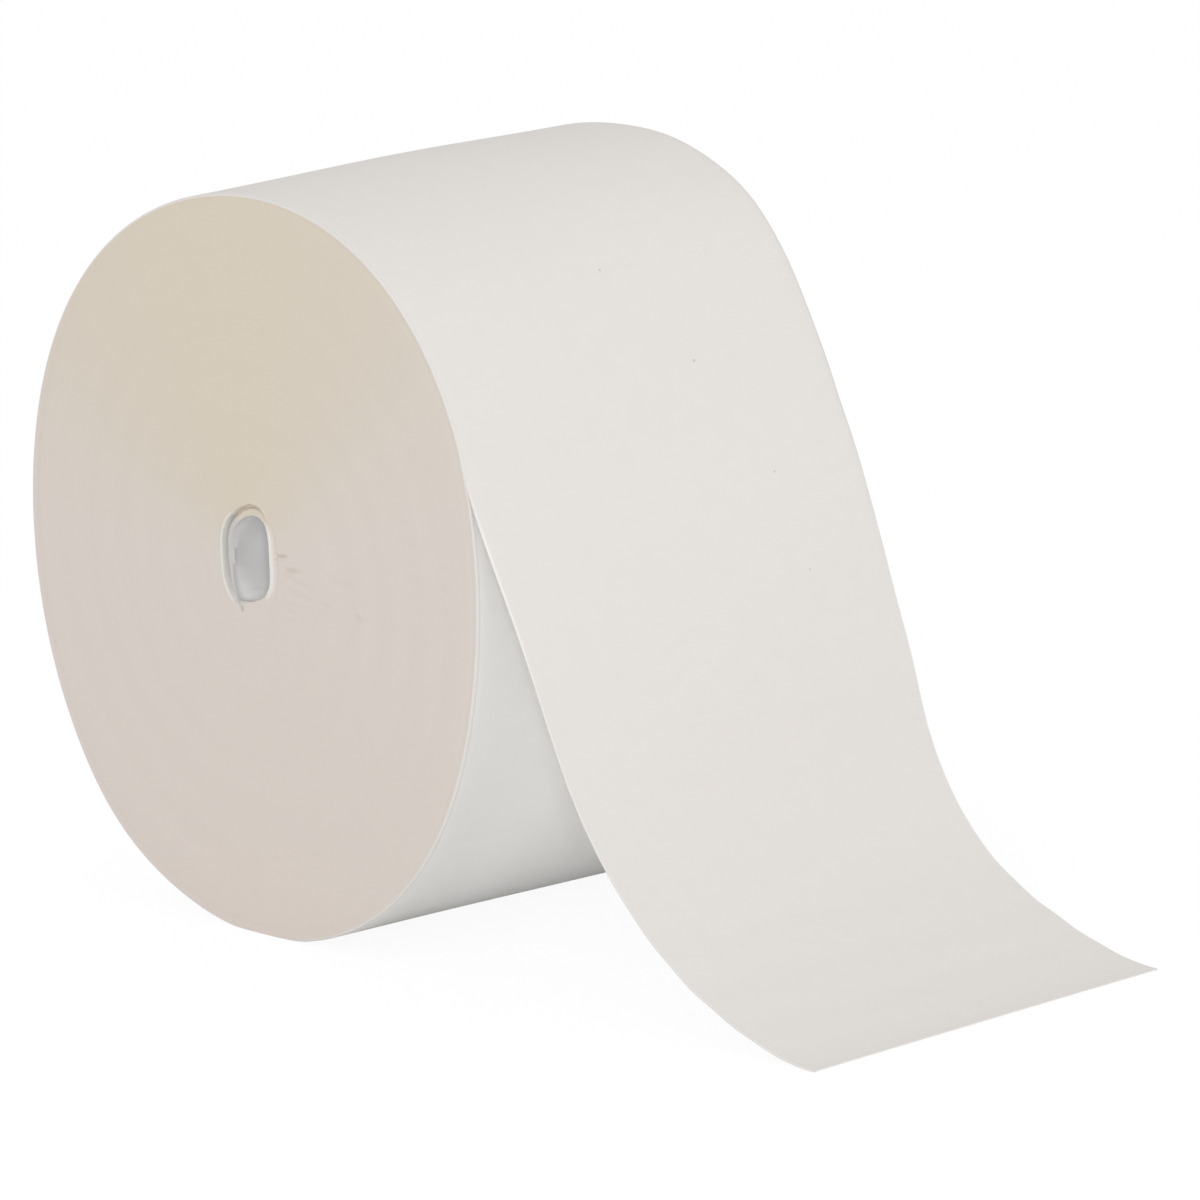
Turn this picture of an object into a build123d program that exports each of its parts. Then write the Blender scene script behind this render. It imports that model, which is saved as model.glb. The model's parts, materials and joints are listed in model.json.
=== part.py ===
from build123d import *
from math import cos, sin, radians, hypot
import os

os.makedirs("parts", exist_ok=True)

# Roll sizes in mm, the winding axis is Y and the end face seen in the photo is at -Y
roll_radius = 75.0
sheet_width = 95.5
web = 0.3
bore_radius = 8.7

# The soft roll sags a little about its hole and is a little out of round
sag_x = -0.2
sag_z = -0.6
lean_2 = (-0.026, 0.026)
lean_3 = (-0.0057, 0.0081)
lean_4 = (-0.0092, -0.0009)
flat_depth = 0.8

# The loose tail: where it leaves the roll, how high above the floor it is taken, and
# how far it hangs out beyond the roll at each of those heights, at its two edges
leave_angle = 23.5
hang_heights = (76.1, 38.6, 16.1, 4.9)
near_reach = (7.9, 26.2, 47.9, 70.0)
far_reach = (6.6, 18.3, 35.6, 59.6)

# How far the end of the sheet lies out on the floor beyond the last of those
near_tip = 22.3
far_tip = 24.5

# Mouth of the hole, flattened on one side where the first turns have sprung in
mouth_radius = 9.1
mouth_flat = 6.3
mouth_corner = 1.2
mouth_depth = 4.0

# The loosened first turns leave a shallow ledge round the rest of the mouth
ledge_width = 17.4
ledge_height = 21.6
ledge_depth = 1.2
ledge_x = -1.5
ledge_z = 1.2

# Turns that stand back from the wound ends
end_turns = 5
turn_relief = 0.2
turn_inner = 16.0
turn_outer = 69.0
turn_width = 4.5


def soft_radius(angle):
    """Radius of the out-of-round roll at an angle in degrees from +X."""
    total = 1.0
    for order, (c, s) in ((2, lean_2), (3, lean_3), (4, lean_4)):
        total += c * cos(order * radians(angle)) + s * sin(order * radians(angle))
    return roll_radius * total


def soft_point(angle, inset=0.0):
    """Point of the roll outline, inset towards the axis."""
    r = soft_radius(angle) - inset
    return (sag_x + r * cos(radians(angle)), sag_z + r * sin(radians(angle)))


def soft_tangent(angle):
    """Unit direction of the outline for a falling angle."""
    x0, z0 = soft_point(angle + 0.05)
    x1, z1 = soft_point(angle - 0.05)
    length = hypot(x1 - x0, z1 - z0)
    return ((x1 - x0) / length, (z1 - z0) / length)


def wound_point(angle):
    """Outline point of the last turn, one web thicker after a full turn."""
    turned = (leave_angle - angle) / 360
    return soft_point(angle, web * (1 - turned))


floor_z = soft_point(-90)[1] + flat_depth


def floor_angle(side):
    """Angle at which the outline meets the floor, left (-1) or right (+1)."""
    low, high = -90.0, -90.0 + side * 30.0
    for _ in range(50):
        middle = (low + high) / 2
        if wound_point(middle)[1] < floor_z:
            low = middle
        else:
            high = middle
    return high


def arc_points(start, stop, count):
    """Points of the last turn between two angles."""
    return [wound_point(start + (stop - start) * i / count) for i in range(count + 1)]


def tail_edge(reach, tip):
    """Outer points of the tail, from the roll to its end on the floor."""
    points = [soft_point(leave_angle)]
    for out, height in zip(reach, hang_heights):
        points.append((sag_x + roll_radius + out, floor_z + height))
    points.append((points[-1][0] + tip, floor_z + web))
    return points


def under_points(points):
    """Points one web thickness under the outer face of the tail."""
    under = [wound_point(leave_angle)]
    for a, b, c in zip(points, points[1:], points[2:]):
        dx, dz = c[0] - a[0], c[1] - a[1]
        length = hypot(dx, dz)
        under.append((b[0] + web * dz / length, b[1] - web * dx / length))
    under.append((points[-1][0], points[-1][1] - web))
    return under


def section(reach, tip):
    """Closed outline of the roll and its tail at one edge of the sheet."""
    outer = tail_edge(reach, tip)
    under = under_points(outer)
    leave = soft_tangent(leave_angle)
    right = floor_angle(1)
    left = floor_angle(-1)
    Spline(outer, tangents=[leave, (1, 0)])
    Line(outer[-1], under[-1])
    Spline(under, tangents=[leave, (1, 0)])
    Spline(arc_points(leave_angle, right, 8))
    Line(wound_point(right), wound_point(left))
    Spline(arc_points(left, leave_angle - 360, 18))


def flatten():
    """Cuts the flat side off the sketch of the mouth."""
    with Locations((mouth_flat + mouth_radius, 0)):
        Rectangle(2 * mouth_radius, 2 * ledge_height, mode=Mode.SUBTRACT)


def spiral(first_radius):
    """Draws a clockwise spiral of half circles and gives its two ends."""
    pitch = (turn_outer - turn_inner) / end_turns
    start = (sag_x + first_radius, sag_z)
    here = start
    for half in range(2 * end_turns - 1):
        side = 1 if half % 2 == 0 else -1
        there = (sag_x - side * (first_radius + pitch * (half + 1) / 2), sag_z)
        radius = abs(here[0] - there[0]) / 2
        middle = ((here[0] + there[0]) / 2, sag_z - side * radius)
        ThreePointArc(here, middle, there)
        here = there
    return start, here


with BuildPart() as paper_roll:
    # Wound body and tail, ruled from the near to the far edge of the sheet
    with BuildSketch(Plane.XZ.offset(sheet_width / 2)):
        with BuildLine():
            section(near_reach, near_tip)
        make_face()
    with BuildSketch(Plane.XZ.offset(-sheet_width / 2)):
        with BuildLine():
            section(far_reach, far_tip)
        make_face()
    loft(ruled=True)

    # Spindle hole
    with BuildSketch(Plane.XZ.offset(sheet_width / 2 - mouth_depth)):
        Circle(bore_radius)
    extrude(amount=-sheet_width, mode=Mode.SUBTRACT)

    # Mouth of the hole
    with BuildSketch(Plane.XZ.offset(sheet_width / 2)):
        Circle(mouth_radius)
        flatten()
        fillet(vertices(), radius=mouth_corner)
    extrude(amount=-mouth_depth, mode=Mode.SUBTRACT)

    # Shallow ledge of loosened turns round the mouth
    with BuildSketch(Plane.XZ.offset(sheet_width / 2)):
        with Locations((ledge_x, ledge_z)):
            Ellipse(ledge_width / 2, ledge_height / 2)
        flatten()
    extrude(amount=-ledge_depth, mode=Mode.SUBTRACT)

    # Spiral band of turns that stand back at each end
    for side in (1, -1):
        with BuildSketch(Plane.XZ.offset(side * sheet_width / 2)):
            with BuildLine():
                inner = spiral(turn_inner)
                outer = spiral(turn_inner + turn_width)
                Line(inner[0], outer[0])
                Line(inner[1], outer[1])
            make_face()
        extrude(amount=-side * turn_relief, mode=Mode.SUBTRACT)

paper_roll.part.label = "paper_roll"
export_step(paper_roll.part, "parts/paper_roll.step")
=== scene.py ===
import json
import math

import bmesh
import bpy
import numpy as np
from mathutils import Matrix, Vector


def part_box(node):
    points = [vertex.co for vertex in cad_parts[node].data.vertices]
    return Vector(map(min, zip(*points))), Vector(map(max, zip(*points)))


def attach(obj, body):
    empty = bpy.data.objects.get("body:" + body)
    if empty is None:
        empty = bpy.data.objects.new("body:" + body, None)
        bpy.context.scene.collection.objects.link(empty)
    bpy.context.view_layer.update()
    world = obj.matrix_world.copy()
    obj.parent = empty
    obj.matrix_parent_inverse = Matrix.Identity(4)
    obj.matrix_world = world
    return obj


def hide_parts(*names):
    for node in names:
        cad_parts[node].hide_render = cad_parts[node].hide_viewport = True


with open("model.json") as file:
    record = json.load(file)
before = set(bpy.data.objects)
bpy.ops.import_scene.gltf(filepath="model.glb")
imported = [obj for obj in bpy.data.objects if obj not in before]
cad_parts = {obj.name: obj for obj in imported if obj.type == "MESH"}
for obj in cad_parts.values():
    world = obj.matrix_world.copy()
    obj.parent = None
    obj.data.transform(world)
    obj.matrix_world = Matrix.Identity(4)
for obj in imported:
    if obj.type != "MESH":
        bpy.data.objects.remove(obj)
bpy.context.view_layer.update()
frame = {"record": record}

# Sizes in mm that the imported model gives
low_corner, high_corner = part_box("paper_roll")
HALF_WIDTH = high_corner[1] * 1000
FLOOR = low_corner[2] * 1000
mounts = {mount["name"]: mount for mount in frame["record"]["mounts"]}
BORE_RADIUS = mounts["spindle_bore"]["dims"]["r_mm"]

# Sizes in mm of the soft roll, as the part's source has them
ROLL_RADIUS = 75.0
WEB = 0.3
SAG_X = -0.2
SAG_Z = -0.6
LEAN = ((2, -0.026, 0.026), (3, -0.0057, 0.0081), (4, -0.0092, -0.0009))

# Loose tail in mm, as the part's source has it
LEAVE = math.radians(23.5)
HANG_HEIGHTS = (76.1, 38.6, 16.1, 4.9)
NEAR_REACH = (7.9, 26.2, 47.9, 70.0)
FAR_REACH = (6.6, 18.3, 35.6, 59.6)
NEAR_TIP = 22.3
FAR_TIP = 24.5

# Spiral band of turns that stand back from both wound ends, in mm, as the source has it
TURN_RELIEF = 0.2
TURN_INNER = 16.0
TURN_OUTER = 69.0
TURN_WIDTH = 4.5
END_TURNS = 5

# Half width in mm of that band's soft edges here, the share of its depth that they leave,
# and parts of a turn over which its inner end starts and its outer end stops
TURN_SOFT = 2.0
TURN_SHARE = 0.6
TURN_STARTS = 0.02
TURN_STOPS = 0.1

# Slight unevenness from turn to turn in mm: height and length of its waves, and the
# distances from the axis over which they begin
FINE_TURNS = (0.006, 3.7)
BROAD_TURNS = (0.010, 9.1)
TURNS_BEGIN = (12, 18)

# Soft edge in mm between the wound ends and the outer turn, width beside it over which the
# unevenness fades, and soft edge of the flat spot
RIM = 0.5
RIM_CALM = 3
FLAT_BLEND = 0.15

# Grid of the mesh: columns round the roll, rows across the sheet, rows along the tail and
# along the hole, which crowd towards its near mouth. Edges sharper than the angle stay sharp
COLUMNS = 360
SHEET_ROWS = 46
TAIL_ROWS = 150
BORE_ROWS = 26
BORE_CROWDING = 1.6
SHARP_DEGREES = 38

# Rings of the wound ends from the hole outwards, as runs of a count and a step in mm
NEAR_RUNS = ((16, 0.2), (8, 0.35), (6, 0.6), (6, 1.0), (28, 1.6), (3, 1.0), (3, 0.6))
FAR_RUNS = ((6, 0.4), (6, 1.0), (21, 2.4), (3, 1.2), (3, 0.6))

# Shares of the way out over which the rings pass from the hole's outline to the roll's
RINGS_PASS = (0.1, 0.9)

# Near mouth of the hole: angle in degrees, distance of the hole's edge from the axis,
# width and depth of the ledge of loosened turns, and depth of the gap behind them
MOUTH = (
    (0, 6.0, 0.0, 0.0, 0.0), (15, 6.15, 0.0, 0.0, 0.0), (30, 6.9, 0.0, 0.0, 0.0),
    (45, 8.4, 0.2, 0.0, 0.0), (60, 9.5, 1.2, 0.1, 0.2), (75, 9.9, 2.2, 0.4, 0.8),
    (90, 9.8, 2.2, 0.5, 1.1), (105, 9.4, 2.0, 0.5, 1.2), (120, 9.1, 1.9, 0.5, 1.4),
    (135, 9.0, 1.9, 0.6, 1.6), (150, 8.6, 1.9, 0.7, 1.6), (170, 7.7, 2.0, 0.8, 1.6),
    (188, 7.6, 2.0, 0.8, 1.6), (205, 8.3, 1.9, 0.8, 1.4), (222, 9.3, 1.3, 0.7, 0.9),
    (236, 9.9, 0.8, 0.5, 0.5), (252, 8.5, 0.3, 0.1, 0.1), (275, 7.5, 0.0, 0.0, 0.0),
    (296, 7.2, 0.0, 0.0, 0.0), (322, 6.9, 0.0, 0.0, 0.0), (345, 6.15, 0.0, 0.0, 0.0),
)
GAP_WIDTH = 0.7

# Columns to each side over which the mouth's sizes are evened out, and half widths in mm of
# the soft edges of the ledge and of the gap
MOUTH_ROUNDING = 8
LEDGE_SOFT = 0.15
GAP_SOFT = 0.12

# Lips and furrows that follow an edge, in mm: height, which is below zero for a furrow,
# distance from the edge, and half width
LEDGE_LIP = (0.16, 0.5, 0.3)
FLAT_LIP = (0.40, 0.0, 0.75)
FLAT_FURROW = (-0.12, 1.7, 0.35)
RIM_FURROW = (-0.15, 0.9, 0.5)

# Where those lips show: widths of the ledge over which its lip grows, direction in degrees
# of the mouth's flat side, and degrees from it over which its lip and furrow fade
LIP_GROWS = (0.5, 1.5)
FLAT_SIDE = 0
FLAT_FADES = (65, 45)

# Painted highlights and shade of the near mouth: direction in degrees of the ledge's middle,
# degrees from it and from the flat side over which they fade, and the distances in mm from the
# ledge, the hole's edge, the pinch and the pit over which they do
LEDGE_SIDE = 187
LEDGE_SHADE = (72, 58)
FLAT_SHADE = (66, 54)
LEDGE_DARK = (0.2, 0.0)
LIP_PALE = (0.0, 0.2, 0.6, 0.9)
FLAT_PALE = (1.1, 0.7)
PINCH_PALE = (0.8, 0.4)
PIT_DARK = (0.7, 0.2)

# Far mouth in mm: how far its edge is drawn in, over which width, and waves of its edge
FAR_DROP = 0.3
FAR_WIDTH = 1.2
FAR_WAVES = (0.15, 0.1)

# Wall of the hole in mm: depths over which it passes from the mouth to the round bore,
# share of its length where it meets the far edge, and its waves
WALL_PASSES = (1.0, 6.5)
WALL_ENDS = (0.97, 1.0)
WALL_WAVES = (0.2, 0.1)

# Sprung flap inside the hole: thickness in mm, range in degrees, where it ends in depth,
# how much deeper it goes over which degrees, and its soft edge
FLAP = 0.25
FLAP_RANGE = (60, 80, 185, 200)
FLAP_DEPTH = 1.5
FLAP_DEEPER = 2.6
FLAP_DEEPENS = (185, 130)
FLAP_SOFT = 0.3

# Wrinkle inside the hole: depth in mm, direction in degrees, half width and run along the hole
WRINKLE = 0.35
WRINKLE_SIDE = 226
WRINKLE_HALF = 0.45
WRINKLE_RUN = (4.0, 5.5, 8.0, 10.0)

# Short creases beside the hole in mm: two ends, depth and half width
CREASES = (
    ((7.0, 2.5), (12.4, 3.0), 0.42, 0.28), ((9.3, 0.0), (16.3, 0.3), 0.42, 0.42),
    ((11.5, -2.1), (17.5, -2.2), 0.25, 0.55), ((10.0, -5.1), (20.5, -4.9), 0.25, 0.60),
    ((20.5, -5.3), (25.5, -5.7), 0.20, 0.35), ((23.5, -1.0), (33.5, -1.0), 0.15, 0.70),
    ((32.5, -6.4), (35.5, -6.5), 0.35, 0.35), ((9.5, -8.3), (13.5, -8.6), 0.16, 0.40),
    ((35.5, 6.1), (51.5, 5.7), 0.10, 0.60),
)

# Shares of a crease's length where it is deepest, and the ridge under it: its height as a
# share of the depth, and its distance in half widths
CREASE_DEEPEST = (0.25, 0.6)
CREASE_RIDGE = 0.6
RIDGE_BELOW = 1.7

# Pinch of paper at the foot of the hole, and the pit under it: place, radius and depth
PINCHES = (((-4.8, -8.3), 0.8, -0.55), ((-4.7, -9.7), 0.5, 1.2))

# Where the soft outline stands out or in: angle in degrees and place across the sheet,
# height, and half width round the roll in degrees and across it
BULGES = (
    (71, 47.75, 1.0, 11, 45), (56, 47.75, 1.5, 10, 45), (34, 47.75, -0.7, 8, 45),
    (14, 47.75, 1.35, 10, 45), (97, 8.0, 0.6, 20, 30), (175, -47.75, 0.3, 55, 60),
    (230, -47.75, 0.8, 14, 40),
)

# A place across the sheet that is clear of them
CLEAR = -200

# Low swells of the outer turn: height in mm, number round the roll, lean in radians for each
# mm across, and shares of the turn between which they show
SWELL = 0.12
SWELL_COUNT = 5
SWELL_LEAN = 0.045
SWELL_SHOWN = (0, 0.05, 0.95, 1)

# Faint waves along the tail in mm: height and length of the short and of the slow ones
SHORT_WAVES = (0.10, 14)
SLOW_WAVES = (0.08, 47)

# Where they show in mm: distances back from the end of the sheet, and from the tail's start
SHORT_SHOWN = (4, 20, 35, 75)
SLOW_BEFORE_END = (0, 40)
SLOW_AFTER_START = (0, 45)

# Run of the tail in mm over which its rounded rims end, and the belly of its far edge:
# how far it stands out, height above the floor and half height
RIM_RUN = 60
BELLY = (1.1, 52, 12)

# Run of the last turn in mm, counted from under the tail's start, over which the painted light
# on the covered part ends
UNDER_STOP = (185, 235)

# Where that painted light is strongest in mm: run back along the tail's under side, and
# distance in from the rims
POCKET_RUN = 5
POCKET_IN = 30

# Widths in mm of the painted shade along the rims, of the run of the tail over which it ends,
# and of the painted highlight along the tail's cut edges
RIM_FADE = 0.3
RIM_SHADE_RUN = 20
CUT_HIGHLIGHT_WIDTH = 0.3

# Specks in the sheet: angle round the roll in degrees, place across and radius in mm, and
# the share by which their middles are darker
SPECKS = ((48.6, 2.4, 0.45), (31.3, 15.0, 0.5), (12.4, 25.9, 0.4), (-1.8, 27.8, 0.35))
SPECK_DARKER = 0.3

# Depths in mm over which the hole's wall leaves its painted shade at the mouth and gains painted light
# further in
MOUTH_FADES = (0.5, 2.5)
BORE_FADES = (2, 10)

# Grain of the paper, as scales of a noise along the three axes of what it follows
CREPE_GRAIN = (2600, 420, 1)
CLOUD_GRAIN = (260, 190, 1)
STREAK_GRAIN = (1.3, 1.3, 900)
RAY_GRAIN = (26, 26, 60)
WALL_GRAIN = (500, 60, 500)
FUZZ_SCALE = 1500.0

# Depths in metres of the bumps that the grain makes
PAPER_BUMP = 0.0001
WALL_BUMP = 0.0002

# Matt surface of the paper
ROUGHNESS = 0.95
SPECULAR = 0.12

# Colours of the paper. The covered part under the tail and the deep wall of the hole are
# painted paler, because the photo's light reaches them more evenly than these lamps do
SHEET_COLOUR = (0.745, 0.714, 0.686)
# Painted shade along the rims of the outer turn
RIM_SHADE_COLOUR = (0.710, 0.680, 0.655)
# Painted highlight along the tail's cut edges
CUT_HIGHLIGHT_COLOUR = (0.84, 0.82, 0.80)
UNDER_PAINTED_LIGHT = (0.82, 0.81, 0.79)
POCKET_PAINTED_LIGHT = (0.97, 0.96, 0.94)
# Painted highlight on the lips and pinch of the near mouth
LIP_HIGHLIGHT_COLOUR = (0.72, 0.70, 0.66)
# Painted shade on the ledge and pit of the near mouth and at the mouth of the hole's wall
MOUTH_SHADE_COLOUR = (0.57, 0.56, 0.54)
HOLE_COLOUR = (0.79, 0.78, 0.77)
BORE_PAINTED_LIGHT = (0.88, 0.88, 0.88)

# Wound ends as sRGB colours. The near one has a painted sheen that makes it a little yellower round
# one direction, in degrees from +X. That fades in over these cosines of the angle from it, and over
# these places across the sheet in metres, so that the far end has none of it
END_SRGB = (213, 204, 197)
WARM_SHEEN_SRGB = (211, 202, 186)
WARM_SIDE = 98
WARM_FADES = (0.1, 1.05)
WARM_ACROSS = (0.0, -0.01)

# Floor: half size in metres, gap under the roll in mm, how pale it is to bounced light, and
# how pale it is and how much it glows where it is seen directly
FLOOR_SIZE = 3.0
FLOOR_GAP = 0.05
FLOOR_PALE = 0.97
FLOOR_SHADOW = 0.08
FLOOR_GLOW = 0.93

# Strength of the light from all round
WORLD_LIGHT = 0.745

# Camera: its direction and turn in degrees, distance and the point that it looks at in mm,
# and its lens and sensor in mm
CAMERA_AZIMUTH = 51.076
CAMERA_ELEVATION = 12.246
CAMERA_TURN = -2.874
CAMERA_DISTANCE = 2385.7
CAMERA_TARGET = (50.43, 0.0, -8.94)
CAMERA_LENS = 360.0
CAMERA_SENSOR = 36.0


# Soft shapes that the functions below share

def smooth(start, stop, x):
    """Soft step from 0 at start to 1 at stop."""
    x = np.clip((x - start) / (stop - start), 0, 1)
    return x * x * (3 - 2 * x)


def between(fades, x):
    """Soft window that rises over the first two values and falls over the last two."""
    return smooth(fades[0], fades[1], x) * smooth(fades[3], fades[2], x)


def ridge(x, height, place, half):
    """Height of a soft ridge at a place, with the half width given."""
    return height * np.exp(-((x - place) / half) ** 2)


def wave(x, height, length, phase):
    """Height of a wave."""
    return height * np.sin(2 * math.pi * x / length + phase)


def degrees_from(angle, side):
    """Degrees between an angle and a direction of the roll, from -180 to 180."""
    return (np.degrees(angle) - side + 180) % 360 - 180


# Outline of the roll

def soft_radius(angle):
    """Radius of the out-of-round roll."""
    total = 1.0
    for order, c, s in LEAN:
        total = total + c * np.cos(order * angle) + s * np.sin(order * angle)
    return ROLL_RADIUS * total


def bulge(angle, y):
    """How far the outline stands out at a place across the sheet."""
    total = 0.0
    for side, across, height, half_turn, half_width in BULGES:
        away = degrees_from(angle, side)
        total = total + height * np.exp(-(away / half_turn) ** 2 - ((y - across) / half_width) ** 2)
    return total


def rim_radius(angle, inset, y):
    """Distance from the sagged centre to the outline, which is flat on the floor."""
    lower = -0.5
    no_floor = 1000.0
    down = np.minimum(np.sin(angle), lower)
    reach = np.where(np.sin(angle) < lower, (FLOOR - SAG_Z) / down, no_floor)
    free = soft_radius(angle) + bulge(angle, y) - inset
    under = np.clip((free - reach) / FLAT_BLEND, -30, 30)
    return free - FLAT_BLEND * np.logaddexp(0, under)


def rim_points(angle, inset, y):
    """Points of the outline, inset towards the centre."""
    r = rim_radius(angle, inset, y)
    return np.stack([SAG_X + r * np.cos(angle), SAG_Z + r * np.sin(angle)], 1)


# Edges of the loose tail

def smooth_curve(points, start, stop, count, fine_count=3000):
    """Even samples of the curve through the points that has the given end directions."""
    p = np.array(points)
    h = np.hypot(*(p[1:] - p[:-1]).T)
    t = np.append(0, np.cumsum(h))
    last = len(p) - 1
    system = np.eye(len(p))
    slopes = np.zeros((len(p), 2))
    slopes[0] = start
    slopes[-1] = stop
    for i in range(1, last):
        system[i, i - 1:i + 2] = h[i], 2 * (h[i - 1] + h[i]), h[i - 1]
        before = h[i] * (p[i] - p[i - 1]) / h[i - 1]
        after = h[i - 1] * (p[i + 1] - p[i]) / h[i]
        slopes[i] = 3 * (before + after)
    m = np.linalg.solve(system, slopes)
    u = np.linspace(0, t[-1], fine_count)
    k = np.clip(np.searchsorted(t, u) - 1, 0, last - 1)
    x = ((u - t[k]) / h[k])[:, None]
    run = h[k][:, None]
    fine = (1 + 2 * x) * (1 - x) ** 2 * p[k] + x * x * (3 - 2 * x) * p[k + 1]
    fine += run * (x * (1 - x) ** 2 * m[k] - x * x * (1 - x) * m[k + 1])
    length = np.append(0, np.cumsum(np.hypot(*(fine[1:] - fine[:-1]).T)))
    even = np.linspace(0, length[-1], count)
    return np.stack([np.interp(even, length, fine[:, 0]), np.interp(even, length, fine[:, 1])], 1)


def tail_edge(reach, tip):
    """Outer line of the tail at one edge of the sheet."""
    step = 0.001
    before, leave, after = rim_points(np.array([LEAVE + step, LEAVE, LEAVE - step]), 0.0, CLEAR)
    start = (after - before) / np.hypot(*(after - before))
    points = [leave]
    for out, height in zip(reach, HANG_HEIGHTS):
        points.append((SAG_X + ROLL_RADIUS + out, FLOOR + height))
    points.append((points[-1][0] + tip, FLOOR + WEB))
    return smooth_curve(points, start, (1, 0), TAIL_ROWS + 1)


# Vertices and faces

rows = []
unrolled_rows = []
shade_rows = []
quads = []
zones = []
SHEET, END, HOLE = 0, 1, 2


def add(points, unrolled=None, shades=None):
    """Adds a row of vertices and gives their numbers."""
    first = sum(len(row) for row in rows)
    rows.append(points)
    unrolled_rows.append(np.zeros((len(points), 2)) if unrolled is None else unrolled)
    shade_rows.append(np.zeros((len(points), 2)) if shades is None else shades)
    return first + np.arange(len(points))


def join(a, b, zone, closed=False):
    """Quads between two rows of vertices."""
    if closed:
        a, b = np.append(a, a[0]), np.append(b, b[0])
    quads.extend(np.stack([a[:-1], a[1:], b[1:], b[:-1]], 1).tolist())
    zones.extend([zone] * (len(a) - 1))


# Columns round the roll, from the tail's start clockwise through one turn
turned = np.arange(COLUMNS + 1) / COLUMNS
sheet_angle = LEAVE - 2 * math.pi * turned
column_angle = sheet_angle[:-1]
column_degrees = np.degrees(column_angle) % 360


# Wound ends

def mouth_line(column):
    """One column of the mouth's sizes for each angle, evened out."""
    degrees = [row[0] for row in MOUTH]
    values = [row[column] for row in MOUTH]
    line = np.interp(column_degrees, degrees, values, period=360)
    kernel = np.hanning(2 * MOUTH_ROUNDING + 1)
    wrapped = np.concatenate([line[-MOUTH_ROUNDING:], line, line[:MOUTH_ROUNDING]])
    return np.convolve(wrapped, kernel / kernel.sum(), "valid")


def ring_distances(runs):
    """Distances of the rings from the hole's edge."""
    return np.cumsum(np.concatenate([[0.0]] + [np.full(count, step) for count, step in runs]))


hole_edge, ledge_width, ledge_depth, gap_depth = (mouth_line(column) for column in (1, 2, 3, 4))
far_edge = BORE_RADIUS + FAR_WAVES[0] * np.sin(3 * column_angle + 1)
far_edge = far_edge + FAR_WAVES[1] * np.sin(5 * column_angle)


def spiral_relief(x, z):
    """Depth of the band of turns that stand back, which winds clockwise outwards."""
    r = np.hypot(x - SAG_X, z - SAG_Z)
    clockwise = (-np.arctan2(z - SAG_Z, x - SAG_X)) % (2 * math.pi) / (2 * math.pi)
    pitch = (TURN_OUTER - TURN_INNER) / END_TURNS
    last = END_TURNS - 0.5
    ends = (0.0, TURN_STARTS, last - TURN_STOPS, last + TURN_STOPS)
    depth = np.zeros_like(r)
    for turn in range(END_TURNS):
        wound = turn + clockwise
        inner = TURN_INNER + pitch * wound
        outer = inner + TURN_WIDTH
        edges = (inner - TURN_SOFT, inner + TURN_SOFT, outer - TURN_SOFT, outer + TURN_SOFT)
        depth += between(ends, wound) * between(edges, r)
    return TURN_SHARE * TURN_RELIEF * depth


def turn_relief(x, z):
    """Slight unevenness from turn to turn."""
    r = np.hypot(x, z)
    a = np.arctan2(z, x)
    fine_shift = 2.0 * np.sin(a + 0.4)
    broad_shift = 1.7 * np.sin(a - 1.1) + 0.9 * np.sin(2 * a)
    waves = wave(r, *FINE_TURNS, fine_shift) + wave(r, *BROAD_TURNS, broad_shift)
    return waves * smooth(*TURNS_BEGIN, r)


def crease_relief(x, z):
    """Grooves of the creases, each with a low ridge under it."""
    depth = np.zeros_like(x)
    for (x0, z0), (x1, z1), deep, half in CREASES:
        run = np.array([x1 - x0, z1 - z0])
        length = np.hypot(*run)
        run = run / length
        along = ((x - x0) * run[0] + (z - z0) * run[1]) / length
        across = ((z - z0) * run[0] - (x - x0) * run[1]) / half
        groove = ridge(across, 1, 0, 1) - ridge(across, CREASE_RIDGE, -RIDGE_BELOW, 1)
        depth += deep * between((0, *CREASE_DEEPEST, 1), along) * groove
    return depth


def mouth_relief(distance, x, z):
    """Ledge, gap, lips and pinch of the near mouth."""
    gap_start = ledge_width - GAP_WIDTH
    on_ledge = smooth(ledge_width + LEDGE_SOFT, ledge_width - LEDGE_SOFT, distance)
    in_gap = smooth(gap_start - GAP_SOFT, gap_start + GAP_SOFT, distance) * on_ledge
    depth = ledge_depth * on_ledge + (gap_depth - ledge_depth) * in_gap
    depth = depth - ridge(distance - ledge_width, *LEDGE_LIP) * smooth(*LIP_GROWS, ledge_width)
    on_flat = smooth(*FLAT_FADES, np.abs(degrees_from(column_angle, FLAT_SIDE)))
    depth = depth - on_flat * (ridge(distance, *FLAT_LIP) + ridge(distance, *FLAT_FURROW))
    for (px, pz), size, deep in PINCHES:
        depth = depth + deep * np.exp(-((x - px) ** 2 + (z - pz) ** 2) / size ** 2)
    return depth


def mouth_shades(distance, x, z):
    """How much each vertex of a ring of the near end carries painted lip highlight and painted ledge
    shade.
    """
    on_left = smooth(*LEDGE_SHADE, np.abs(degrees_from(column_angle, LEDGE_SIDE)))
    on_flat = smooth(*FLAT_SHADE, np.abs(degrees_from(column_angle, FLAT_SIDE)))
    past = distance - ledge_width
    shaded = on_left * smooth(*LEDGE_DARK, past)
    lip_highlight = on_left * between(LIP_PALE, past) * smooth(*LIP_GROWS, ledge_width)
    lip_highlight = np.maximum(lip_highlight, on_flat * smooth(*FLAT_PALE, distance))
    (pinch_x, pinch_z), (pit_x, pit_z) = (place for place, _, _ in PINCHES)
    lip_highlight = np.maximum(lip_highlight, smooth(*PINCH_PALE, np.hypot(x - pinch_x, z - pinch_z)))
    shaded = np.maximum(shaded, smooth(*PIT_DARK, np.hypot(x - pit_x, z - pit_z)))
    return np.stack([lip_highlight * (1 - shaded), shaded], 1)


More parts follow.
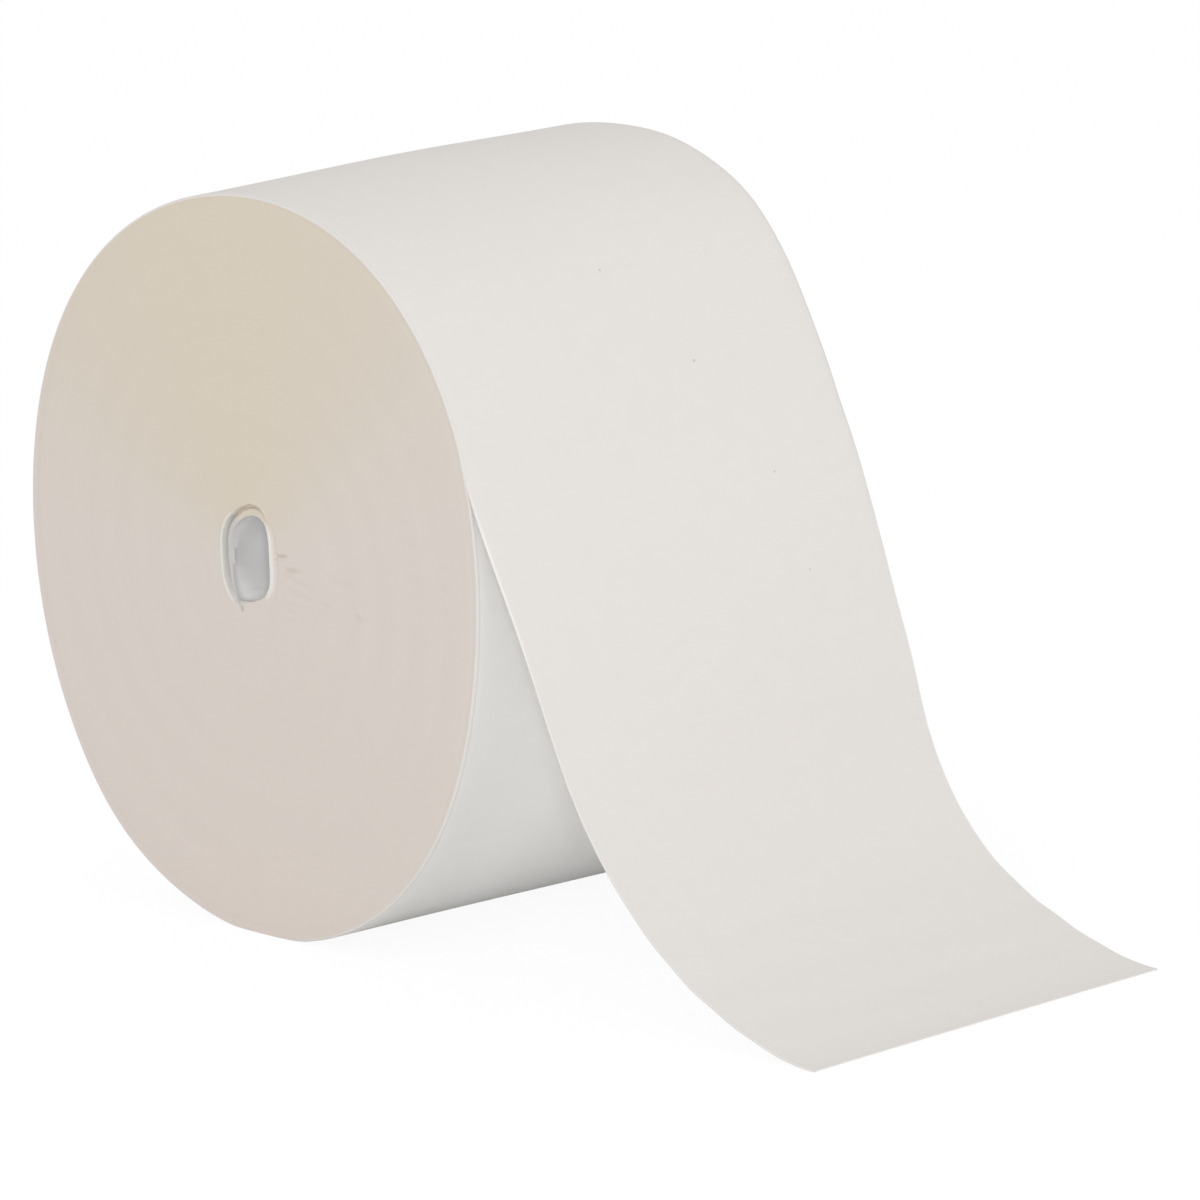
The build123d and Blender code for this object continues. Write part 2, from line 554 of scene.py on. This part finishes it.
def end_ring(side, inner, distance, last):
    """Adds one ring of a wound end, side -1 is the near end."""
    share = smooth(*RINGS_PASS, distance / last)
    outline_radius = rim_radius(column_angle, WEB * (1 - turned[:-1]), side * HALF_WIDTH)
    r = inner + distance + (outline_radius - RIM - inner - last) * share
    x = SAG_X * share + r * np.cos(column_angle)
    z = SAG_Z * share + r * np.sin(column_angle)
    depth = (spiral_relief(x, z) + turn_relief(x, z)) * smooth(last, last - RIM_CALM, distance)
    shades = None
    if side < 0:
        depth = depth + crease_relief(x, z) + mouth_relief(distance, x, z)
        depth = depth - ridge(last - distance, *RIM_FURROW)
        shades = mouth_shades(distance, x, z)
    else:
        depth = depth + FAR_DROP * smooth(FAR_WIDTH, 0.0, distance)
    return add(np.stack([x, side * (HALF_WIDTH - depth), z], 1), shades=shades)


def wound_end(side, inner, distances):
    """Adds one wound end without the rim, and gives its first and last ring."""
    rings = [end_ring(side, inner, distance, distances[-1]) for distance in distances[:-1]]
    for a, b in zip(rings, rings[1:]):
        join(a, b, END, closed=True)
    return rings[0], rings[-1]


def close_rim(ring, rim):
    """Joins a wound end to the outer turn, which also closes the step of the last turn."""
    join(np.append(ring, ring[0]), rim, END)
    quads.append([int(ring[0]), int(rim[-1]), int(rim[0])])
    zones.append(END)


# Outer turn and loose tail

outline = rim_points(sheet_angle, 0.0, 0.0)
round_length = np.append(0, np.cumsum(np.hypot(*(outline[1:] - outline[:-1]).T)))
near_tail = tail_edge(NEAR_REACH, NEAR_TIP)
far_tail = tail_edge(FAR_REACH, FAR_TIP)
tail_length = np.hypot(*(near_tail[1:] - near_tail[:-1]).T).sum()
tail_run = np.linspace(0, tail_length, TAIL_ROWS + 1)


def sheet_rows():
    """Place across the sheet and inset of each row, with a quarter round at both rims."""
    quarter = np.radians([0, 22.5, 45, 67.5, 90])
    near = [(-HALF_WIDTH + RIM * (1 - math.cos(q)), RIM * (1 - math.sin(q))) for q in quarter]
    inside = np.linspace(-HALF_WIDTH + RIM, HALF_WIDTH - RIM, SHEET_ROWS)[1:-1]
    far = [(-y, inset) for y, inset in reversed(near)]
    return near + [(y, 0.0) for y in inside] + far


def turn_points(y, inset):
    """Row of the outer turn, with the slight swell of soft paper."""
    height = SWELL * math.cos(math.pi * y / HALF_WIDTH / 2)
    swell = height * np.sin(SWELL_COUNT * sheet_angle + SWELL_LEAN * y) * between(SWELL_SHOWN, turned)
    p = rim_points(sheet_angle, WEB * (1 - turned) + inset - swell, y)
    return np.stack([p[:, 0], np.full(len(p), y), p[:, 1]], 1)


def tail_points(y, inset):
    """Outer and under row of the tail, with faint waves towards its end."""
    share = (y + HALF_WIDTH) / (2 * HALF_WIDTH)
    p = near_tail * (1 - share) + far_tail * share
    run = np.gradient(p, axis=0)
    run /= np.hypot(run[:, 0], run[:, 1])[:, None]
    normal = np.stack([-run[:, 1], run[:, 0]], 1)
    left = tail_length - tail_run
    short_shift = 1.1 * math.sin(2.2 * share + 0.4)
    slow_shift = 2.6 * share
    short = wave(left, *SHORT_WAVES, short_shift) * between(SHORT_SHOWN, left)
    slow = wave(left, *SLOW_WAVES, slow_shift)
    slow = slow * smooth(*SLOW_BEFORE_END, left) * smooth(*SLOW_AFTER_START, tail_run)
    start = bulge(LEAVE - tail_run / ROLL_RADIUS, y) - inset * smooth(RIM_RUN, 0, tail_run)
    belly = share * ridge(p[:, 1] - FLOOR, *BELLY)
    outer = p + normal * (short + slow + start + belly)[:, None]
    under = outer - normal * WEB
    outer[:, 1] = np.maximum(outer[:, 1], FLOOR + WEB)
    under[:, 1] = np.maximum(under[:, 1], FLOOR)
    across = np.full(len(p), y)
    return (np.stack([line[:, 0], across, line[:, 1]], 1) for line in (outer, under))


def add_sheet():
    """Adds the sheet from its near to its far edge, and gives the outer turn's two rims."""
    turn_rows, outer_rows, under_rows = [], [], []
    for y, inset in sheet_rows():
        across = y + HALF_WIDTH
        turn = add(turn_points(y, inset), np.stack([round_length, np.full(COLUMNS + 1, across)], 1))
        outer, under = tail_points(y, inset)
        width = np.full(TAIL_ROWS, across)
        outer = add(outer[1:], np.stack([round_length[-1] + tail_run[1:], width], 1))
        under = add(under[1:], np.stack([-tail_run[1:], width], 1))
        turn_rows.append(turn)
        outer_rows.append(np.append(turn[-1], outer))
        under_rows.append(np.append(turn[0], under))
    for lines in (turn_rows, outer_rows, under_rows):
        for a, b in zip(lines, lines[1:]):
            join(a, b, SHEET)
    # Both long edges of the tail and its end
    join(outer_rows[0], under_rows[0], SHEET)
    join(outer_rows[-1], under_rows[-1], SHEET)
    join(np.array([row[-1] for row in outer_rows]), np.array([row[-1] for row in under_rows]), SHEET)
    return turn_rows[0], turn_rows[-1]


# Wall of the hole

def hole_points(share, near_y, far_y):
    """Row of the hole's wall, from the near (0) to the far (1) end."""
    y = near_y * (1 - share) + far_y * share
    depth = y + HALF_WIDTH
    bore = BORE_RADIUS + WALL_WAVES[0] * np.sin(3 * column_angle + 1 + 0.05 * depth)
    bore = bore + WALL_WAVES[1] * np.sin(7 * column_angle + 0.09 * depth)
    r = hole_edge + (bore - hole_edge) * smooth(*WALL_PASSES, depth)
    r = r + (far_edge - r) * smooth(*WALL_ENDS, share)
    flap_end = FLAP_DEPTH + FLAP_DEEPER * smooth(*FLAP_DEEPENS, column_degrees)
    flap = smooth(flap_end + FLAP_SOFT, flap_end, depth) * between(FLAP_RANGE, column_degrees)
    beside = np.radians(column_degrees - WRINKLE_SIDE) * r
    wrinkle = ridge(beside, WRINKLE, 0, WRINKLE_HALF) * between(WRINKLE_RUN, depth)
    r = r - FLAP * flap + wrinkle
    return np.stack([r * np.cos(column_angle), y, r * np.sin(column_angle)], 1)


def add_hole_wall(near_ring, far_ring):
    """Adds the wall of the hole between the first rings of both wound ends."""
    vertices = np.vstack(rows)
    near_y, far_y = vertices[near_ring, 1], vertices[far_ring, 1]
    hole_rows = [near_ring]
    for step in range(1, BORE_ROWS):
        share = (step / BORE_ROWS) ** BORE_CROWDING
        hole_rows.append(add(hole_points(share, near_y, far_y)))
    hole_rows.append(far_ring)
    for a, b in zip(hole_rows, hole_rows[1:]):
        join(a, b, HOLE, closed=True)


def make_mesh(name):
    """Mesh of all the rows, in metres, with the sheet's own flat map."""
    mesh = bpy.data.meshes.new(name)
    mesh.from_pydata((np.vstack(rows) / 1000).tolist(), [], quads)
    mesh.polygons.foreach_set("material_index", np.array(zones, np.int32))
    mesh.polygons.foreach_set("use_smooth", np.ones(len(quads), bool))
    corner_vertex = np.zeros(len(mesh.loops), np.int32)
    mesh.loops.foreach_get("vertex_index", corner_vertex)
    flat = (np.vstack(unrolled_rows) / 1000)[corner_vertex]
    mesh.uv_layers.new(name="unrolled").data.foreach_set("uv", flat.astype(np.float32).ravel())
    # Shares of painted highlight and painted shade round the near mouth
    for column, shade in enumerate(("lip_highlight", "ledge_shade")):
        values = np.vstack(shade_rows)[:, column].astype(np.float32)
        mesh.attributes.new(shade, "FLOAT", "POINT").data.foreach_set("value", values)
    work = bmesh.new()
    work.from_mesh(mesh)
    bmesh.ops.recalc_face_normals(work, faces=work.faces)
    work.to_mesh(mesh)
    work.free()
    mesh.set_sharp_from_angle(angle=math.radians(SHARP_DEGREES))
    return mesh


# Materials

def linear(red, green, blue):
    """Scene colour of an sRGB colour."""
    return [((c / 255 + 0.055) / 1.055) ** 2.4 for c in (red, green, blue)]


def paper_material(name):
    """Matt paper shader, its node tree and its shader node."""
    material = bpy.data.materials.new(name)
    material.use_nodes = True
    tree = material.node_tree
    tree.nodes.clear()
    out = tree.nodes.new("ShaderNodeOutputMaterial")
    shader = tree.nodes.new("ShaderNodeBsdfPrincipled")
    shader.inputs["Roughness"].default_value = ROUGHNESS
    shader.inputs["Specular IOR Level"].default_value = SPECULAR
    tree.links.new(shader.outputs[0], out.inputs[0])
    return material, tree, shader


def maths(tree, operation, *values):
    """Math node with numbers or links as its inputs."""
    made = tree.nodes.new("ShaderNodeMath")
    made.operation = operation
    for socket, value in zip(made.inputs, values):
        if isinstance(value, (int, float)):
            socket.default_value = value
        else:
            tree.links.new(value, socket)
    return made.outputs[0]


def split_vector(tree, vector):
    """The three parts of a vector."""
    made = tree.nodes.new("ShaderNodeSeparateXYZ")
    tree.links.new(vector, made.inputs[0])
    return made.outputs


def noise(tree, vector, scale, detail, stretch=(1, 1, 1)):
    """Noise over a vector, stretched along its axes."""
    mapping = tree.nodes.new("ShaderNodeMapping")
    mapping.inputs["Scale"].default_value = stretch
    tree.links.new(vector, mapping.inputs[0])
    made = tree.nodes.new("ShaderNodeTexNoise")
    made.inputs["Scale"].default_value = scale
    made.inputs["Detail"].default_value = detail
    tree.links.new(mapping.outputs[0], made.inputs["Vector"])
    return made.outputs[0]


def vary(tree, colour, pattern, amount):
    """Colour made lighter and darker by a pattern between 0 and 1."""
    gain = maths(tree, "MULTIPLY_ADD", pattern, amount, 1 - amount / 2)
    made = tree.nodes.new("ShaderNodeVectorMath")
    made.operation = "SCALE"
    tree.links.new(colour, made.inputs[0])
    tree.links.new(gain, made.inputs["Scale"])
    return made.outputs[0]


def fade(tree, value, start, stop):
    """Soft step from 0 at start to 1 at stop."""
    ramp = tree.nodes.new("ShaderNodeMapRange")
    ramp.interpolation_type = "SMOOTHSTEP"
    ramp.inputs["From Min"].default_value = start
    ramp.inputs["From Max"].default_value = stop
    tree.links.new(value, ramp.inputs["Value"])
    return ramp.outputs[0]


def plain_colour(tree, colour):
    """Node that holds one colour."""
    made = tree.nodes.new("ShaderNodeRGB")
    made.outputs[0].default_value = (*colour, 1)
    return made.outputs[0]


def blend(tree, share, first, second):
    """Colour between two colours."""
    made = tree.nodes.new("ShaderNodeMix")
    made.data_type = "RGBA"
    tree.links.new(share, made.inputs["Factor"])
    colour_inputs = [socket for socket in made.inputs if socket.type == "RGBA"]
    tree.links.new(first, colour_inputs[0])
    tree.links.new(second, colour_inputs[1])
    return [socket for socket in made.outputs if socket.type == "RGBA"][0]


def add_bump(tree, shader, height, strength, distance):
    """Bump on the shader, with the distance in metres."""
    bump = tree.nodes.new("ShaderNodeBump")
    bump.inputs["Strength"].default_value = strength
    bump.inputs["Distance"].default_value = distance
    tree.links.new(height, bump.inputs["Height"])
    tree.links.new(bump.outputs[0], shader.inputs["Normal"])


def shade(tree, name):
    """Share of a painted highlight or shade that the mesh's vertices carry."""
    made = tree.nodes.new("ShaderNodeAttribute")
    made.attribute_name = name
    return made.outputs["Fac"]


def speck_mask(tree, vector, place, radius):
    """1 away from a speck and 0 in its middle."""
    made = tree.nodes.new("ShaderNodeVectorMath")
    made.operation = "DISTANCE"
    made.inputs[1].default_value = (*place, 0)
    tree.links.new(vector, made.inputs[0])
    return fade(tree, made.outputs["Value"], 0, radius)


def speck_place(degrees, across):
    """Place of a speck on the unrolled sheet, in metres."""
    turn = (LEAVE - math.radians(degrees)) / (2 * math.pi)
    if degrees > math.degrees(LEAVE):
        run = (1 + turn) * round_length[-1]
    else:
        drop = SAG_Z + ROLL_RADIUS * math.sin(math.radians(degrees))
        run = round_length[-1] + np.interp(-drop, -near_tail[:, 1], tail_run)
    return run / 1000, (across + HALF_WIDTH) / 1000


def sheet_material():
    """Outer turn and tail: covered part in painted light, rims in painted shade, cut edges with
    painted highlights, crepe, cloudy fibres and specks.
    """
    material, tree, shader = paper_material("tissue_web")
    unrolled = tree.nodes.new("ShaderNodeUVMap")
    unrolled.uv_map = "unrolled"
    flat = unrolled.outputs[0]
    crepe = noise(tree, flat, scale=1.0, detail=3.0, stretch=CREPE_GRAIN)
    cloud = noise(tree, flat, scale=1.0, detail=5.0, stretch=CLOUD_GRAIN)
    run, across, _ = split_vector(tree, flat)
    nearest = maths(tree, "MINIMUM", across, maths(tree, "SUBTRACT", 2 * HALF_WIDTH / 1000, across))
    # Painted light: the covered part under the tail is painted paler, palest deep in the pocket
    inwards = fade(tree, nearest, 0.0, POCKET_IN / 1000)
    deep = maths(tree, "MAXIMUM", inwards, fade(tree, run, 0.0, -POCKET_RUN / 1000))
    under = blend(tree, deep, plain_colour(tree, UNDER_PAINTED_LIGHT), plain_colour(tree, POCKET_PAINTED_LIGHT))
    painted_light_share = fade(tree, run, UNDER_STOP[1] / 1000, UNDER_STOP[0] / 1000)
    colour = blend(tree, painted_light_share, plain_colour(tree, SHEET_COLOUR), under)
    # Painted shade along the rims of the outer turn, ending along the tail
    rim = fade(tree, nearest, (RIM + RIM_FADE) / 1000, RIM / 1000)
    on_turn = fade(tree, run, (round_length[-1] + RIM_SHADE_RUN) / 1000, round_length[-1] / 1000)
    colour = blend(tree, maths(tree, "MULTIPLY", rim, on_turn), colour, plain_colour(tree, RIM_SHADE_COLOUR))
    # Painted highlight along the tail's cut edges
    at_cut = fade(tree, nearest, CUT_HIGHLIGHT_WIDTH / 1000, 0.0)
    cut_highlight = maths(tree, "MULTIPLY", at_cut, maths(tree, "SUBTRACT", 1, on_turn))
    colour = blend(tree, cut_highlight, colour, plain_colour(tree, CUT_HIGHLIGHT_COLOUR))
    colour = vary(tree, colour, cloud, amount=0.03)
    colour = vary(tree, colour, crepe, amount=0.02)
    for degrees, speck_across, radius in SPECKS:
        mask = speck_mask(tree, flat, speck_place(degrees, speck_across), radius / 1000)
        colour = vary(tree, colour, maths(tree, "SUBTRACT", mask, 0.5), SPECK_DARKER)
    tree.links.new(colour, shader.inputs["Base Color"])
    height = maths(tree, "MULTIPLY_ADD", cloud, 0.6, crepe)
    add_bump(tree, shader, height, strength=0.2, distance=PAPER_BUMP)
    return material


def end_material():
    """Wound ends: warm painted sheen on the near one, painted lip highlights and ledge shade, streaks.
    """
    material, tree, shader = paper_material("tissue_ends")
    place = tree.nodes.new("ShaderNodeTexCoord").outputs["Object"]
    x, y, z = split_vector(tree, place)
    around = maths(tree, "ARCTAN2", z, x)
    squares = maths(tree, "MULTIPLY_ADD", x, x, maths(tree, "MULTIPLY", z, z))
    turns = tree.nodes.new("ShaderNodeCombineXYZ")
    tree.links.new(maths(tree, "COSINE", around), turns.inputs[0])
    tree.links.new(maths(tree, "SINE", around), turns.inputs[1])
    tree.links.new(maths(tree, "SQRT", squares), turns.inputs[2])
    streaks = noise(tree, turns.outputs[0], scale=1.0, detail=4.0, stretch=STREAK_GRAIN)
    rays = noise(tree, turns.outputs[0], scale=1.0, detail=3.0, stretch=RAY_GRAIN)
    fuzz = noise(tree, place, scale=FUZZ_SCALE, detail=2.0)
    # Painted sheen: the near end turns yellower round one side
    towards = maths(tree, "COSINE", maths(tree, "SUBTRACT", around, math.radians(WARM_SIDE)))
    warm_sheen = maths(tree, "MULTIPLY", fade(tree, towards, *WARM_FADES), fade(tree, y, *WARM_ACROSS))
    end_colour = plain_colour(tree, linear(*END_SRGB))
    colour = blend(tree, warm_sheen, end_colour, plain_colour(tree, linear(*WARM_SHEEN_SRGB)))
    # Painted highlight on the lips and pinch, painted shade on the ledge and pit
    colour = blend(tree, shade(tree, "lip_highlight"), colour, plain_colour(tree, LIP_HIGHLIGHT_COLOUR))
    colour = blend(tree, shade(tree, "ledge_shade"), colour, plain_colour(tree, MOUTH_SHADE_COLOUR))
    colour = vary(tree, colour, streaks, amount=0.02)
    colour = vary(tree, colour, rays, amount=0.015)
    colour = vary(tree, colour, fuzz, amount=0.015)
    tree.links.new(colour, shader.inputs["Base Color"])
    height = maths(tree, "MULTIPLY_ADD", rays, 0.5, streaks)
    add_bump(tree, shader, height, strength=0.2, distance=PAPER_BUMP)
    return material


def hole_material():
    """Wall of the hole: painted shade at the mouth, painted light deeper in, creased along the axis.
    """
    material, tree, shader = paper_material("tissue_hole")
    place = tree.nodes.new("ShaderNodeTexCoord").outputs["Object"]
    creases = noise(tree, place, scale=1.0, detail=4.0, stretch=WALL_GRAIN)
    y = split_vector(tree, place)[1]
    # Painted shade at the mouth, painted light deeper in
    inside = fade(tree, y, *((depth - HALF_WIDTH) / 1000 for depth in MOUTH_FADES))
    deep = fade(tree, y, *((depth - HALF_WIDTH) / 1000 for depth in BORE_FADES))
    colour = blend(tree, inside, plain_colour(tree, MOUTH_SHADE_COLOUR), plain_colour(tree, HOLE_COLOUR))
    colour = blend(tree, deep, colour, plain_colour(tree, BORE_PAINTED_LIGHT))
    colour = vary(tree, colour, creases, amount=0.04)
    tree.links.new(colour, shader.inputs["Base Color"])
    add_bump(tree, shader, creases, strength=0.4, distance=WALL_BUMP)
    return material


# Floor and world: white to the camera, with a faint shadow of the roll on the floor

def seen_directly(tree):
    """1 for camera, glossy and transmission rays."""
    path = tree.nodes.new("ShaderNodeLightPath")
    glossy = maths(tree, "MAXIMUM", path.outputs["Is Camera Ray"], path.outputs["Is Glossy Ray"])
    return maths(tree, "MAXIMUM", glossy, path.outputs["Is Transmission Ray"])


def make_floor():
    """Plain floor under the roll."""
    z = (FLOOR - FLOOR_GAP) / 1000
    corners = [(-FLOOR_SIZE, -FLOOR_SIZE, z), (FLOOR_SIZE, -FLOOR_SIZE, z)]
    corners += [(FLOOR_SIZE, FLOOR_SIZE, z), (-FLOOR_SIZE, FLOOR_SIZE, z)]
    plane = bpy.data.meshes.new("floor")
    plane.from_pydata(corners, [], [(0, 1, 2, 3)])
    floor = bpy.data.objects.new("floor", plane)
    bpy.context.collection.objects.link(floor)
    material = bpy.data.materials.new("floor")
    material.use_nodes = True
    tree = material.node_tree
    tree.nodes.clear()
    out = tree.nodes.new("ShaderNodeOutputMaterial")
    diffuse = tree.nodes.new("ShaderNodeBsdfDiffuse")
    glow = tree.nodes.new("ShaderNodeEmission")
    both = tree.nodes.new("ShaderNodeAddShader")
    seen = seen_directly(tree)
    pale = maths(tree, "MULTIPLY_ADD", seen, FLOOR_SHADOW - FLOOR_PALE, FLOOR_PALE)
    tree.links.new(pale, diffuse.inputs[0])
    tree.links.new(maths(tree, "MULTIPLY", seen, FLOOR_GLOW), glow.inputs[1])
    tree.links.new(diffuse.outputs[0], both.inputs[0])
    tree.links.new(glow.outputs[0], both.inputs[1])
    tree.links.new(both.outputs[0], out.inputs[0])
    plane.materials.append(material)


def make_world():
    """Even white light from all round."""
    world = bpy.data.worlds.new("studio")
    bpy.context.scene.world = world
    world.use_nodes = True
    tree = world.node_tree
    tree.nodes.clear()
    out = tree.nodes.new("ShaderNodeOutputWorld")
    back = tree.nodes.new("ShaderNodeBackground")
    back.inputs[0].default_value = (1, 1, 1, 1)
    strength = maths(tree, "MULTIPLY_ADD", seen_directly(tree), 1 - WORLD_LIGHT, WORLD_LIGHT)
    tree.links.new(strength, back.inputs[1])
    tree.links.new(back.outputs[0], out.inputs[0])


# Lamps and camera

def direction(azimuth, elevation):
    """Unit vector from the roll towards a place seen at these angles in degrees."""
    a, e = math.radians(azimuth), math.radians(elevation)
    return Vector((math.sin(a) * math.cos(e), -math.cos(a) * math.cos(e), math.sin(e)))


def make_lamp(name, azimuth, elevation, distance, size, power):
    """Large soft round lamp that shines on the roll, sizes in metres."""
    way = direction(azimuth, elevation)
    light = bpy.data.lights.new(name, "AREA")
    light.shape = "DISK"
    light.size = size
    light.energy = power
    lamp = bpy.data.objects.new(name, light)
    lamp.location = way * distance
    lamp.rotation_mode = "QUATERNION"
    lamp.rotation_quaternion = (-way).to_track_quat("-Z", "Y")
    bpy.context.collection.objects.link(lamp)


def make_camera():
    """Long lens at the photograph's viewing angle."""
    azimuth = math.radians(CAMERA_AZIMUTH)
    turn = math.radians(CAMERA_TURN)
    backward = direction(CAMERA_AZIMUTH, CAMERA_ELEVATION)
    level = Vector((math.cos(azimuth), math.sin(azimuth), 0))
    upright = backward.cross(level)
    right = level * math.cos(turn) + upright * math.sin(turn)
    up = upright * math.cos(turn) - level * math.sin(turn)
    place = (Vector(CAMERA_TARGET) + backward * CAMERA_DISTANCE) / 1000
    data = bpy.data.cameras.new("camera")
    data.sensor_width = CAMERA_SENSOR
    data.lens = CAMERA_LENS
    camera = bpy.data.objects.new("camera", data)
    camera.matrix_world = Matrix([*zip(right, up, backward, place), (0, 0, 0, 1)])
    bpy.context.collection.objects.link(camera)
    bpy.context.scene.camera = camera


# The roll: both wound ends, the sheet round them, and the wall of the hole
near_hole, near_last = wound_end(-1, hole_edge, ring_distances(NEAR_RUNS))
far_hole, far_last = wound_end(1, far_edge, ring_distances(FAR_RUNS))
near_rim, far_rim = add_sheet()
close_rim(near_last, near_rim)
close_rim(far_last, far_rim)
add_hole_wall(near_hole, far_hole)
mesh = make_mesh("wound_paper")
for make_material in (sheet_material, end_material, hole_material):
    mesh.materials.append(make_material())
roll = bpy.data.objects.new("wound_paper", mesh)
bpy.context.collection.objects.link(roll)
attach(roll, "root")
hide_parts("paper_roll")

# What stands round it
make_floor()
make_world()
make_lamp("key", azimuth=51, elevation=12, distance=2.5, size=0.5, power=17)
make_lamp("overhead", azimuth=0, elevation=80, distance=2.5, size=1.5, power=8)
make_camera()
bpy.context.scene.view_settings.view_transform = "Standard"
